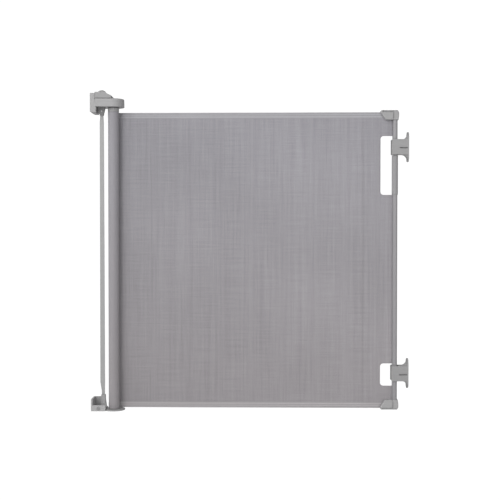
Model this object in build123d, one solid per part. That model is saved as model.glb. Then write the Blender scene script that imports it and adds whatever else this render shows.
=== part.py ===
"""Retractable mesh safety gate, closed across its doorway.

The origin is at the middle of the gate's bottom: X runs from the roller side's wall to the
latch side's wall, Y from the room in front to the room behind, and Z is up. Millimetres.
"""

import os
from math import cos, pi, sin

from build123d import *

# The doorway
HALF_W = 412.7  # the two walls stand at X = -HALF_W and X = +HALF_W
WALL_L = -HALF_W
WALL_R = HALF_W

# The roller and what is wound on it
ROLL_X = WALL_L + 57.1
ROLL_R = 14.5
TUBE_R, TUBE_BORE = 10.0, 8.5
SHAFT_R = 4.0
RUN = 0.05  # radial clearance of a running fit
MESH_LOW, MESH_HIGH = 4.0, 776.6
MESH_T = 0.8
HEM = 15.0
HEM_T = 1.6

# The tie bar between the two roller brackets
TIE_X = WALL_L + 26.9
TIE_FOOT_X = WALL_L + 28.7
TIE_NECK, TIE_T = 8.0, 3.0

# Top bracket
ARM_LOW, ARM_SPLIT, ARM_HIGH = 788.7, 801.5, 810.0
ARM_R = 28.4
BLOCK_W, BLOCK_LOW, BLOCK_HIGH = 12.0, 772.5, 823.6
SEAT_Z, HOUSING_TOP = 823.0, 826.0
SKIN = 2.5
WALL_SCREW_R, WALL_HEAD_R = 2.25, 4.5
TOP_HOLE_Y, TOP_HOLE_Z = 21.0, 783.0
BOTTOM_HOLE_Y, BOTTOM_HOLE_Z = 17.0, 17.0
COVER_SCREWS = ((WALL_L + 59.0, -22.6), (WALL_L + 59.0, 22.6), (WALL_L + 79.7, 0.0))

# Lock knob, ratchet and pawl
KNOB_R, KNOB_LOW, KNOB_TOP = 12.9, 823.3, 833.6
WELL_Z = 824.6
BUTTON_R = 4.0
TEETH, RATCHET_R = 12, 12.0
RATCHET_LOW, RATCHET_HIGH = 793.0, 797.0
PIN_X, PIN_Y, PIN_R = ROLL_X - 18.4, 13.0, 1.5
PAWL_SWING = 13.5  # degrees between clear of the ratchet and engaged

# Foot of the roller side
PAN_W, PAN_Z = 19.5, 6.4
FOOT_R, FOOT_HIGH = 28.6, 2.8

# Handle side
BAR_X0, BAR_X1, BAR_Y, BAR_CORNER = 371.4, 383.8, 10.0, 5.6
BAR_MID = (BAR_X0 + BAR_X1) / 2
GRIP_LOW, GRIP_HIGH = 562.0, 664.0
CUT_X = 340.3
UPPER_CUT = (561.8, 714.8)
LOWER_CUT = (62.8, 121.0)
CUT_CORNER = 8.0
PATCH_X = 291.0
PANEL_END = 371.2
NOTCH_X, NOTCH_HIGH = 339.7, 7.5

# Catches on the latch side's wall
CATCH_Z = (686.0, 96.0)
CATCH_HALF = 20.0
JAW_X = 368.6
JAW_OUT, JAW_IN = 14.0, 10.35
PLATE_X = WALL_R - 3.5
FLARE_R, FLARE_RUN = 14.5, 13.8
EAR_HOLE = 33.5


def block(x0, x1, y0, y1, z0, z1, corner=0.0, axis=Axis.Z):
    """A box between the given limits, with the edges along one axis rounded."""
    size = (x1 - x0, y1 - y0, z1 - z0)
    made = Pos((x0 + x1) / 2, (y0 + y1) / 2, (z0 + z1) / 2) * Box(*size)
    if corner:
        made = fillet(made.edges().filter_by(axis), corner)
    return made


def rod(x, y, z0, z1, r):
    """An upright cylinder."""
    return Pos(x, y, (z0 + z1) / 2) * Cylinder(r, z1 - z0)


def rod_x(x0, x1, y, z, r):
    """A cylinder along X."""
    return Pos((x0 + x1) / 2, y, z) * Rot(0, 90, 0) * Cylinder(r, x1 - x0)


def rod_y(x, y0, y1, z, r):
    """A cylinder along Y."""
    return Pos(x, (y0 + y1) / 2, z) * Rot(90, 0, 0) * Cylinder(r, y1 - y0)


def ring(x, y, z0, z1, outer, inner):
    """An upright ring."""
    return rod(x, y, z0, z1, outer) - rod(x, y, z0 - 1, z1 + 1, inner)


def side_profile(points, y0, y1):
    """An outline in X and Z, given depth between two Y."""
    face = Plane.XZ.offset(-y1) * make_face(Polyline(*points, close=True))
    return extrude(face, y1 - y0)


def plan_profile(points, z0, z1):
    """An outline in X and Y, given height between two Z."""
    face = Plane.XY.offset(z0) * make_face(Polyline(*points, close=True))
    return extrude(face, z1 - z0)


def tongue(x0, half, z0, z1, inset=0.0):
    """A bar in plan from X0 to the roller's axis with a half round end about that axis."""
    straight = block(x0 + inset, ROLL_X, -half + inset, half - inset, z0, z1)
    return straight + rod(ROLL_X, 0, z0, z1, half - inset)


def coil(x, y, z0, height, radius, pitch, wire):
    """A coil spring standing at a point."""
    path = Helix(pitch=pitch, height=height, radius=radius)
    start = Plane(origin=path @ 0, z_dir=path % 0)
    swept = sweep(start * Circle(wire), path=path, is_frenet=True)
    return Pos(x, y, z0) * swept


def save(name, shape):
    """One STEP file for one node."""
    export_step(shape, f"parts/{name}.step")


# ---------------------------------------------------------------- top bracket


def top_bracket():
    """The wall block and the hollow arm that the roller hangs from."""
    wall = block(WALL_L, WALL_L + BLOCK_W, -ARM_R, ARM_R, BLOCK_LOW, BLOCK_HIGH)
    wall += block(WALL_L, WALL_L + 15.2, -ARM_R, ARM_R, BLOCK_LOW, ARM_LOW + 1)
    wall = fillet(wall.edges().filter_by(Axis.X), 3)
    wall -= side_profile(
        (
            (WALL_L - 1, BLOCK_LOW - 1),
            (WALL_L + 8, BLOCK_LOW - 1),
            (WALL_L - 1, BLOCK_LOW + 3.2),
        ),
        -40,
        40,
    )
    arm = tongue(WALL_L + 5, ARM_R, ARM_LOW, ARM_SPLIT)
    made = wall + arm
    made -= tongue(WALL_L + BLOCK_W, ARM_R, ARM_LOW + SKIN, ARM_SPLIT + 1, SKIN)
    for x, y in COVER_SCREWS:
        made += rod(x, y, ARM_LOW + SKIN, ARM_SPLIT, 3.6)
        made -= rod(x, y, ARM_SPLIT - 8, ARM_SPLIT + 1, 1.25)
    made -= rod(ROLL_X, 0, ARM_LOW - 1, ARM_LOW + 4, 6.5)
    made += rod(PIN_X, PIN_Y, ARM_LOW + SKIN, RATCHET_LOW - 0.4, 3.0)
    made -= rod(PIN_X, PIN_Y, ARM_LOW + 0.5, RATCHET_LOW, PIN_R)
    for y in (-TOP_HOLE_Y, TOP_HOLE_Y):
        made -= rod_x(WALL_L - 1, WALL_L + 30, y, TOP_HOLE_Z, WALL_SCREW_R)
        made -= rod_x(WALL_L + 4, WALL_L + 30, y, TOP_HOLE_Z, WALL_HEAD_R)
    return made


def top_cover():
    """The lid of the arm."""
    made = tongue(WALL_L + BLOCK_W, ARM_R - 0.3, ARM_SPLIT, ARM_HIGH)
    rim = made.edges().group_by(Axis.Z)[-1]
    made = fillet(rim.filter_by(lambda e: e.center().X > WALL_L + BLOCK_W + 1), 3.0)
    made -= tongue(WALL_L + BLOCK_W, ARM_R, ARM_SPLIT - 1, ARM_HIGH - SKIN - 1, SKIN)
    for x, y in COVER_SCREWS:
        made += rod(x, y, ARM_SPLIT, ARM_HIGH - SKIN - 1, 3.6)
        made -= rod(x, y, ARM_SPLIT - 1, ARM_HIGH + 1, 1.6)
        made -= rod(x, y, ARM_HIGH - 2.2, ARM_HIGH + 1, 2.9)
    made -= rod(TIE_X, 0, ARM_SPLIT - 1, ARM_HIGH + 1, SHAFT_R + RUN)
    return made


def lock_housing():
    """The raised block that the knob is seated in, on a plinth that leaves a shadow line."""
    left, right = WALL_L + BLOCK_W, WALL_L + 55.0
    outline = (
        (left, ARM_HIGH + 0.8),
        (right, ARM_HIGH + 0.8),
        (right, 816.4),
        (right - 0.8, 817.4),
        (right - 11.5, 822.4),
        (right - 15.5, HOUSING_TOP),
        (left, HOUSING_TOP),
    )
    made = side_profile(outline, -27.4, 27.4)
    made = fillet(made.edges().filter_by(Axis.Z).sort_by(Axis.X)[-2:], 2.4)
    made += block(left, right - 0.7, -24.9, 24.9, ARM_HIGH, ARM_HIGH + 0.8)
    made -= rod(TIE_X, 0, SEAT_Z, HOUSING_TOP + 1, KNOB_R + 0.5)
    return made - rod(TIE_X, 0, ARM_HIGH - 1, HOUSING_TOP + 1, SHAFT_R + RUN)


def cover_screws():
    """The three screws of the lid."""
    made = []
    for x, y in COVER_SCREWS:
        screw = rod(x, y, ARM_SPLIT - 7.5, ARM_HIGH - 2.2, 1.2)
        screw += rod(x, y, ARM_HIGH - 2.2, ARM_HIGH - 0.3, 2.7)
        screw -= block(x - 0.4, x + 0.4, y - 1.8, y + 1.8, ARM_HIGH - 1.2, ARM_HIGH)
        screw -= block(x - 1.8, x + 1.8, y - 0.4, y + 0.4, ARM_HIGH - 1.2, ARM_HIGH)
        made.append(screw)
    return Compound(children=made)


def top_bush():
    """The bearing of the roller's upper shaft, pressed into the arm's floor."""
    return ring(ROLL_X, 0, ARM_LOW - 0.3, ARM_LOW + 3.6, 6.5, SHAFT_R + RUN)


def pawl_pin():
    """The pin that the pawl swings on."""
    return rod(PIN_X, PIN_Y, ARM_LOW + 0.5, ARM_SPLIT - 1, PIN_R)


def pawl():
    """The pawl, drawn engaged and then swung clear of the ratchet."""
    low, high = RATCHET_LOW, RATCHET_HIGH
    arm = block(PIN_X - 2.5, PIN_X + 2.5, -2.2, PIN_Y, low, high)
    nose = (
        (PIN_X + 2.5, -2.2),
        (ROLL_X - 10, -0.8),
        (ROLL_X - 10, 0.8),
        (PIN_X + 2.5, 2.2),
    )
    made = arm + plan_profile(nose, low, high) + rod(PIN_X, PIN_Y, low, high, 3.4)
    made -= rod(PIN_X, PIN_Y, low - 1, high + 1, PIN_R + RUN)
    pivot = Pos(PIN_X, PIN_Y, 0)
    return pivot * Rot(0, 0, -PAWL_SWING) * pivot.inverse() * made


def pawl_spring():
    """The leaf that swings the pawl clear, clipped beside the arm's wall."""
    foot = block(PIN_X + 9, PIN_X + 12, 19, 24.2, RATCHET_LOW, RATCHET_HIGH)
    leaf = plan_profile(
        (
            (PIN_X + 9, 19.6),
            (PIN_X + 9, 19.0),
            (PIN_X + 2.9, 4.6),
            (PIN_X + 2.4, 4.8),
        ),
        RATCHET_LOW + 0.5,
        RATCHET_HIGH - 0.5,
    )
    return foot + leaf


def knob_cam_shaft():
    """The knob's shaft with its cam."""
    made = rod(TIE_X, 0, ARM_LOW + 3.8, WELL_Z, SHAFT_R)
    cam = block(TIE_X - 1.5, TIE_X + 1.5, -7.1, 0, RATCHET_LOW, RATCHET_HIGH)
    cam += rod(TIE_X, -7.1, RATCHET_LOW, RATCHET_HIGH, 1.5)
    made += cam
    made -= ring(TIE_X, 0, ARM_SPLIT - 2.2, ARM_SPLIT - 1.2, 6, 3.2)
    return made


def knob_clip():
    """The clip under the lid that keeps the knob's shaft in."""
    made = ring(TIE_X, 0, ARM_SPLIT - 2.15, ARM_SPLIT - 1.25, 6.4, 3.25)
    return made - block(TIE_X - 1.8, TIE_X + 1.8, 0, 8, ARM_SPLIT - 3, ARM_SPLIT)


def lock_knob():
    """The domed knob with its two thumb hollows and the well of its button."""
    outline = Polyline(
        (0, KNOB_LOW),
        (KNOB_R, KNOB_LOW),
        (KNOB_R, KNOB_LOW + 1.6),
    )
    dome = Spline(
        (KNOB_R, KNOB_LOW + 1.6),
        (9.6, KNOB_TOP - 3.5),
        (5.2, KNOB_TOP - 0.8),
        tangents=((-0.7, 1), (-1, 0.25)),
    )
    lid = Polyline((5.2, KNOB_TOP - 0.8), (0, KNOB_TOP - 0.8), (0, KNOB_LOW))
    face = Plane.XZ * make_face(outline + dome + lid)
    made = Pos(TIE_X, 0, 0) * revolve(face, Axis.Z)
    for side in (-1, 1):
        hollow = Pos(TIE_X, side * 21.0, KNOB_TOP + 1.0) * Sphere(13.5)
        made -= hollow
    made -= rod(TIE_X, 0, WELL_Z, KNOB_TOP + 1, BUTTON_R + RUN)
    made -= rod(TIE_X, 0, KNOB_LOW - 1, WELL_Z, SHAFT_R)
    return made


def release_button():
    """The button in the knob's crown."""
    made = rod(TIE_X, 0, KNOB_TOP - 4, KNOB_TOP, BUTTON_R)
    made = fillet(made.edges().group_by(Axis.Z)[-1], 0.8)
    return made


def button_spring():
    """The spring under the button."""
    return coil(TIE_X, 0, WELL_Z + 0.5, 4.0, 2.6, 1.3, 0.3)


# ---------------------------------------------------------------- tie bar


def tie_bar():
    """The flat bar that holds the two brackets at their distance, necked in at both ends."""
    right = ((33.0, 12), (33.0, 60), (33.3, 72), (32.1, 750), (30.9, 766), (30.9, 785))
    left = ((22.9, 785), (22.9, 766), (21.3, 750), (21.2, 72), (24.8, 50), (24.8, 12))
    outline = [(WALL_L + w, z) for w, z in right + left]
    made = side_profile(outline, -TIE_T / 2, TIE_T / 2)
    for x, z in tie_screw_places():
        made -= rod_y(x, -5, 5, z, 1.65)
    return made


def tie_screw_places():
    """X and Z of the two screws that cross the tie bar's ends."""
    return ((TIE_FOOT_X, 20.0), (TIE_X, 779.0))


def tie_bar_top_socket():
    """The foot under the arm that the bar's upper end stands in, deeper towards the wall."""
    right = ((35.8, ARM_LOW), (34.6, 781), (32.6, 774), (31.9, 768))
    left = ((21.9, 768), (21.2, 772.6), (15.5, 774.2), (15.5, ARM_LOW))
    points = [(WALL_L + w, z) for w, z in right + left]
    made = side_profile(points, -5.5, 5.5)
    made = chamfer(made.edges().filter_by(lambda e: abs(e.center().Y) > 5).group_by(Axis.Z)[1:-1], 1)
    made -= block(TIE_X - 4.05, TIE_X + 4.05, -1.55, 1.55, 760, 792)
    return made - rod_y(TIE_X, -20, 20, 779.0, 1.65)


def tie_bar_bottom_socket():
    """The foot on the bottom bracket's floor, flared towards the roller."""
    outline = ((23.8, 5), (37.6, 5), (36.8, 14), (35.2, 26), (34.7, 40), (23.8, 40))
    points = [(WALL_L + w, z) for w, z in outline]
    made = side_profile(points, -5.5, 5.5)
    made = fillet(made.edges().filter_by(Axis.Y).group_by(Axis.Z)[-1], 0.9)
    made -= block(WALL_L + 24.75, WALL_L + 33.05, -1.55, 1.55, 4, 50)
    return made - rod_y(TIE_FOOT_X, -20, 20, 20.0, 1.65)


def tie_bar_screws():
    """The cross screws that hold the tie bar in its two sockets, with their heads behind."""
    made = []
    for (x, z), half in zip(tie_screw_places(), (5.5, 7.0)):
        screw = rod_y(x, -4.5, half, z, 1.6)
        head = rod_y(x, half, half + 1.6, z, 2.8)
        head -= block(x - 2, x + 2, half + 0.8, half + 2, z - 0.4, z + 0.4)
        made.append(screw + head)
    return Compound(children=made)


# ---------------------------------------------------------------- bottom bracket


def bottom_bracket():
    """The open wall bracket at the foot: floor, low front wall, taller rear wall."""
    right = WALL_L + 37.4
    plate = block(WALL_L, WALL_L + 4, -26, 26, 0, 31)
    floor = block(WALL_L + 2, right, -26, 26, 0, 5)
    rear = side_profile(
        (
            (WALL_L, 1),
            (WALL_L + 31, 1),
            (WALL_L + 31, 28),
            (WALL_L + 29, 31),
            (WALL_L, 31),
        ),
        22.5,
        26,
    )
    front = block(WALL_L, right, -26, -22.5, 0, 15.4)
    made = plate + floor + rear + front
    made -= rod_y(WALL_L + PAN_W, -27, -24.6, PAN_Z, 5.2)
    made -= block(WALL_L + 24, right + 1, -13.2, 13.2, -1, FOOT_HIGH + 0.1)
    for x, y in foot_screw_places():
        made += rod(x, y, FOOT_HIGH + 0.1, 10.0, 2.3)
        made -= rod(x, y, 0, 9.0, 1.25)
    for y in (-BOTTOM_HOLE_Y, BOTTOM_HOLE_Y):
        made -= rod_x(WALL_L - 1, WALL_L + 6, y, BOTTOM_HOLE_Z, WALL_SCREW_R)
    return made


def foot_screw_places():
    """Where the foot plate is screwed to the bottom bracket."""
    return ((WALL_L + 30.0, -9.6), (WALL_L + 30.0, 9.6))


def front_pan_screw():
    """The round screw in the recess of the bottom bracket's front."""
    made = rod_y(WALL_L + PAN_W, -25.9, -24.6, PAN_Z, 3.0)
    for turn in (0, 90):
        slot = Box(4.0, 1.4, 0.9)
        made -= Pos(WALL_L + PAN_W, -25.9, PAN_Z) * Rot(0, turn, 0) * slot
    return made


def foot_plate():
    """The thin round plate that the roller stands over, with its tongue under the bracket."""
    disc = rod(ROLL_X, 0, 0, FOOT_HIGH, FOOT_R)
    disc = chamfer(disc.edges(), 0.3)
    disc -= block(WALL_L + 20, WALL_L + 38.2, -30, 30, -1, 8)
    made = disc + block(WALL_L + 24.2, ROLL_X, -13, 13, 0, FOOT_HIGH)
    made -= rod(ROLL_X, 0, -1, 8, SHAFT_R)
    for x, y in foot_screw_places():
        made -= rod(x, y, -1, 4, 1.65)
        made -= rod(x, y, -1, 1.3, 2.7)
    return made


def foot_plate_screws():
    """The two screws under the foot plate's tongue."""
    made = []
    for x, y in foot_screw_places():
        made.append(rod(x, y, 1.2, 8.5, 1.2) + rod(x, y, 0.1, 1.25, 2.5))
    return Compound(children=made)


def bottom_spindle():
    """The fixed spindle that the roller's foot turns on."""
    return rod(ROLL_X, 0, 0.0, 52.0, SHAFT_R)


def thrust_washer():
    """The washer between the foot plate and the roller."""
    return ring(ROLL_X, 0, FOOT_HIGH, 3.2, 9.0, SHAFT_R)


def spring_mandrel():
    """The rod inside the roller's spring."""
    return rod(ROLL_X, 0, 52.0, 400.0, 3.0)


def torsion_spring():
    """The spring that winds the mesh back."""
    return coil(ROLL_X, 0, 70.0, 300.0, 5.6, 12.0, 0.7)


# ---------------------------------------------------------------- roller


def roller_tube():
    """The aluminium tube that the mesh winds on, with its anchor groove."""
    made = ring(ROLL_X, 0, 12.0, 775.0, TUBE_R, TUBE_BORE)
    return made - block(ROLL_X + 7, ROLL_X + 11, -1.2, 1.2, 20.0, 770.0)


def mesh_anchor_strip():
    """The strip that holds the mesh's end in the tube's groove."""
    made = block(ROLL_X + 8.6, ROLL_X + 9.7, -1.15, 1.15, 21.0, 769.0)
    return made


def roller_top_plug():
    """The upper end plug with its flange and shaft."""
    made = rod(ROLL_X, 0, 750.0, MESH_HIGH + 0.3, TUBE_BORE)
    flange = rod(ROLL_X, 0, MESH_HIGH + 0.3, 787.9, ROLL_R)
    flange = chamfer(flange.edges(), 0.8)
    made += flange + rod(ROLL_X, 0, 787.9, 799.5, SHAFT_R)
    made -= ring(ROLL_X, 0, RATCHET_HIGH + 0.1, RATCHET_HIGH + 1.1, 6, 3.2)
    return made - rod(ROLL_X, 0, 749.0, 770.0, 6.5)


def roller_bottom_plug():
    """The lower end plug, bored for the spindle."""
    made = rod(ROLL_X, 0, 3.25, MESH_LOW, 14.2) + rod(ROLL_X, 0, MESH_LOW, 40.0, TUBE_BORE)
    made += rod(ROLL_X, 0, MESH_LOW, 12.0, TUBE_R)
    return made - rod(ROLL_X, 0, 2.0, 41.0, SHAFT_R + RUN)


def ratchet_wheel():
    """The toothed wheel on the roller's upper shaft."""
    made = ring(ROLL_X, 0, RATCHET_LOW, RATCHET_HIGH, RATCHET_R, SHAFT_R)
    notch = plan_profile(
        (
            (ROLL_X - 13, -3.6),
            (ROLL_X - 13, 1.7),
            (ROLL_X - 8.8, 1.7),
            (ROLL_X - 8.8, -1.4),
        ),
        RATCHET_LOW - 1,
        RATCHET_HIGH + 1,
    )
    axle = Pos(ROLL_X, 0, 0)
    for k in range(TEETH):
        made -= axle * Rot(0, 0, 360 / TEETH * k) * axle.inverse() * notch
    return made


def ratchet_clip():
    """The clip that keeps the ratchet wheel on its shaft."""
    made = ring(ROLL_X, 0, RATCHET_HIGH + 0.15, RATCHET_HIGH + 1.05, 6.4, 3.25)
    return made - block(
        ROLL_X - 1.8, ROLL_X + 1.8, 0, 8, RATCHET_HIGH - 1, RATCHET_HIGH + 2
    )


def mesh_roll():
    """The turns of mesh that stay on the roller."""
    return ring(ROLL_X, 0, MESH_LOW, MESH_HIGH, ROLL_R, TUBE_R)


# ---------------------------------------------------------------- mesh panel


def panel_back(x):
    """Y of the panel's rear face: it leaves the roller at its rear and ends at the bar."""
    share = (x - ROLL_X) / (PANEL_END - ROLL_X)
    return (ROLL_R + 0.3 + MESH_T) * (1 - share) + MESH_T / 2 * share


def panel_slab(x0, x1, z0, z1, front, rear):
    """A piece of the panel's plane between two X and two Z, from front to rear of its back."""
    points = (
        (x0, panel_back(x0) - front),
        (x1, panel_back(x1) - front),
        (x1, panel_back(x1) + rear),
        (x0, panel_back(x0) + rear),
    )
    return plan_profile(points, z0, z1)


def cut_outs():
    """The two openings beside the handle bar."""
    made = []
    for low, high in (UPPER_CUT, LOWER_CUT):
        window = block(CUT_X, PANEL_END + 40, -15, 15, low, high)
        edges = window.edges().filter_by(Axis.Y).sort_by(Axis.X)[:2]
        made.append(fillet(edges, CUT_CORNER))
    return made


def mesh_panel():
    """The stretched mesh with its two hems and the cut-outs for hand and catch."""
    made = panel_slab(ROLL_X, PANEL_END, MESH_LOW, MESH_HIGH, MESH_T, 0)
    hems = ((MESH_LOW, MESH_LOW + HEM), (MESH_HIGH - HEM, MESH_HIGH))
    for low, high in hems:
        made += panel_slab(ROLL_X + 4, PANEL_END, low, high, MESH_T, HEM_T - MESH_T)
    for window in cut_outs():
        made -= window
    return made - block(NOTCH_X, PANEL_END + 40, -15, 15, 0, NOTCH_HIGH)


def handle_end_reinforcement():
    """The second layer of cloth sewn on the front of the panel's handle end."""
    made = panel_slab(
        PATCH_X, PANEL_END, MESH_LOW + HEM, MESH_HIGH - HEM, MESH_T + 0.5, -MESH_T
    )
    for window in cut_outs():
        made -= window
    return made


# ---------------------------------------------------------------- handle


def bar_outline(grow=0.0):
    """The handle bar's section."""
    width, depth = BAR_X1 - BAR_X0 + 2 * grow, 2 * (BAR_Y + grow)
    return Pos(BAR_MID, 0) * RectangleRounded(width, depth, BAR_CORNER + grow)


def bar_solid(z0, z1, grow=0.0):
    """A length of the handle bar's outer form."""
    return extrude(Plane.XY.offset(z0) * bar_outline(grow), z1 - z0)


def handle_bar():
    """The hollow aluminium bar with the channel that holds the mesh's edge."""
    made = bar_solid(6.0, 777.0) - bar_solid(5.0, 778.0, -1.5)
    made += block(BAR_X0 + 1, BAR_X0 + 8.4, -4.0, 4.0, 6.0, 777.0)
    made -= rod(BAR_X0 + 4.6, 0, 5.0, 778.0, 2.5)
    return made - block(BAR_X0 - 1, BAR_X0 + 4.6, -1.0, 1.0, 5.0, 778.0)


def mesh_keder():
    """The welt that holds the mesh's edge in the bar's channel."""
    made = rod(BAR_X0 + 4.6, 0, 8.0, 775.0, 2.2)
    return made + block(BAR_X0 + 0.2, BAR_X0 + 4.6, -0.5, 0.5, 8.0, 775.0)


def grip_sleeve():
    """The thicker grip below the upper catch."""
    made = bar_solid(GRIP_LOW, GRIP_HIGH, 1.3)
    ends = made.edges().group_by(Axis.Z)
    made = chamfer(ends[0] + ends[-1], 0.8)
    return made - bar_solid(GRIP_LOW - 1, GRIP_HIGH + 1)


def cap_solid(top):
    """Both shells of a corner cap in one piece, at the bar's top or at its foot."""
    outline = (
        (342.0, 781.3),
        (383.6, 781.3),
        (387.1, 775.4),
        (387.1, 766.5),
        (385.6, 756.0),
        (352.0, 756.0),
        (340.1, 774.5),
        (340.1, 779.4),
    )
    if not top:
        outline = [(x, 783.0 - z) for x, z in outline][::-1]
    made = side_profile(outline, -12.0, 12.0)
    faces = made.faces().filter_by(Axis.Y)
    rims = ShapeList(faces[0].edges() + faces[1].edges())
    made = fillet(rims, 2.2)
    low, high = (750.0, 777.0) if top else (6.0, 33.0)
    made -= bar_solid(low, high)
    lip = (740.0, 777.8) if top else (7.2, 40.0)
    made -= block(330.0, BAR_X0 + 1.0, -1.6, 2.0, *lip)
    return made


def cap_half(top, front):
    """One shell of a corner cap, with its half of the screw's boss."""
    made = cap_solid(top)
    z = 779.3 if top else 3.7
    far = block(300, 400, 0, 40, -10, 800) if front else block(300, 400, -40, 0, -10, 800)
    made -= far
    seam = block(BAR_X0 + 0.2, BAR_X0 + 2.0, -13, -10.2, -5, 790)
    made -= seam if front else seam.mirror(Plane.XZ)
    low, high = (776.6, 778.4) if top else (4.6, 5.8)
    rim = block(343.0, BAR_X0 + 0.6, -13, -10.3, low, high)
    made -= rim if front else rim.mirror(Plane.XZ)
    for x in cap_screw_places():
        made -= rod_y(x, -20, 20, z, 0.9)
        made -= rod_y(x, 8.5, 20, z, 1.7)
    return made


def cap_screw_places():
    """X of the two screws of each corner cap."""
    return (346.5, 380.0)


def cap_screws():
    """The screws that clamp each cap's rear shell to its front shell."""
    made = []
    for z in (779.3, 3.7):
        for x in cap_screw_places():
            screw = rod_y(x, -6.0, 8.5, z, 0.85) + rod_y(x, 8.5, 10.0, z, 1.6)
            made.append(screw)
    return Compound(children=made)


# ---------------------------------------------------------------- catches


def flare(zc, side):
    """The concave rib that widens the catch's arm towards its wall plate."""
    z0, z1 = sorted((zc + side * (CATCH_HALF - 0.5), zc + side * (CATCH_HALF + 9.8)))
    corner = block(PLATE_X - FLARE_RUN, PLATE_X + 0.5, -12, 12, z0, z1)
    centre = zc + side * (CATCH_HALF + FLARE_R)
    return corner - rod_y(PLATE_X - FLARE_RUN, -20, 20, centre, FLARE_R)


def catch_body(zc):
    """A wall plate with the channel that the handle bar hooks into."""
    plate = block(PLATE_X, WALL_R, -JAW_OUT, JAW_OUT, zc - 39, zc + 39, 13.5, Axis.X)
    arm = side_profile(
        (
            (PLATE_X + 0.5, zc - CATCH_HALF),
            (PLATE_X + 0.5, zc + CATCH_HALF),
            (JAW_X + 1.6, zc + CATCH_HALF),
            (JAW_X, zc + CATCH_HALF - 1.6),
            (JAW_X, zc - CATCH_HALF + 1.6),
            (JAW_X + 1.6, zc - CATCH_HALF),
        ),
        -JAW_OUT,
        JAW_OUT,
    )
    arm -= block(360, 387.3, -JAW_IN, JAW_IN, zc - 30, zc + 30)
    arm -= block(369.6, 386.6, -JAW_IN - 1.2, JAW_IN + 1.2, zc - 10.2, zc + 10.2)
    arm -= block(388.6, PLATE_X - 0.5, -JAW_OUT - 1, -JAW_OUT + 3.8, zc - 4.4, zc - 1.0)
    arm -= block(388.6, PLATE_X - 0.5, JAW_OUT - 3.8, JAW_OUT + 1, zc - 4.4, zc - 1.0)
    made = plate + arm
    for side in (-1, 1):
        made += flare(zc, side)
        made -= rod_x(PLATE_X - 5, WALL_R + 1, 0, zc + side * EAR_HOLE, WALL_SCREW_R)
    return made


def catch_clip(zc):
    """Two sprung leaves in the jaws, each with the bead that holds the bar."""
    made = []
    for side in (-1, 1):
        y0, y1 = sorted((side * (JAW_IN + 0.2), side * (JAW_IN + 1.0)))
        leaf = block(369.8, 386.4, y0, y1, zc - 10, zc + 10)
        leaf += rod(371.3, side * (JAW_IN + 0.4), zc - 8, zc + 8, 1.35)
        leaf -= block(360, 390, *sorted((side * (JAW_IN + 1.0), side * 14)), zc - 20, zc + 20)
        made.append(leaf)
    return Compound(children=made)


def main():
    os.makedirs("parts", exist_ok=True)
    save("top_bracket", top_bracket())
    save("top_cover", top_cover())
    save("lock_housing", lock_housing())
    save("cover_screws", cover_screws())
    save("top_bush", top_bush())
    save("pawl_pin", pawl_pin())
    save("pawl", pawl())
    save("pawl_spring", pawl_spring())
    save("knob_cam_shaft", knob_cam_shaft())
    save("knob_clip", knob_clip())
    save("lock_knob", lock_knob())
    save("release_button", release_button())
    save("button_spring", button_spring())
    save("tie_bar", tie_bar())
    save("tie_bar_top_socket", tie_bar_top_socket())
    save("tie_bar_bottom_socket", tie_bar_bottom_socket())
    save("tie_bar_screws", tie_bar_screws())
    save("bottom_bracket", bottom_bracket())
    save("front_pan_screw", front_pan_screw())
    save("foot_plate", foot_plate())
    save("foot_plate_screws", foot_plate_screws())
    save("bottom_spindle", bottom_spindle())
    save("thrust_washer", thrust_washer())
    save("spring_mandrel", spring_mandrel())
    save("torsion_spring", torsion_spring())
    save("roller_tube", roller_tube())
    save("mesh_anchor_strip", mesh_anchor_strip())
    save("roller_top_plug", roller_top_plug())
    save("roller_bottom_plug", roller_bottom_plug())
    save("ratchet_wheel", ratchet_wheel())
    save("ratchet_clip", ratchet_clip())
    save("mesh_roll", mesh_roll())
    save("mesh_panel", mesh_panel())
    save("handle_end_reinforcement", handle_end_reinforcement())
    save("handle_bar", handle_bar())
    save("mesh_keder", mesh_keder())
    save("grip_sleeve", grip_sleeve())
    save("top_cap_front", cap_half(True, True))
    save("top_cap_rear", cap_half(True, False))
    save("bottom_cap_front", cap_half(False, True))
    save("bottom_cap_rear", cap_half(False, False))
    save("cap_screws", cap_screws())
    for name, zc in zip(("upper", "lower"), CATCH_Z):
        save(f"{name}_catch_body", catch_body(zc))
        save(f"{name}_catch_clip", catch_clip(zc))


main()
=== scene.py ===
"""Looks of the retractable mesh safety gate: cloth, stitching, moulded plastic and coated metal."""

from math import cos, pi, sin

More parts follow.
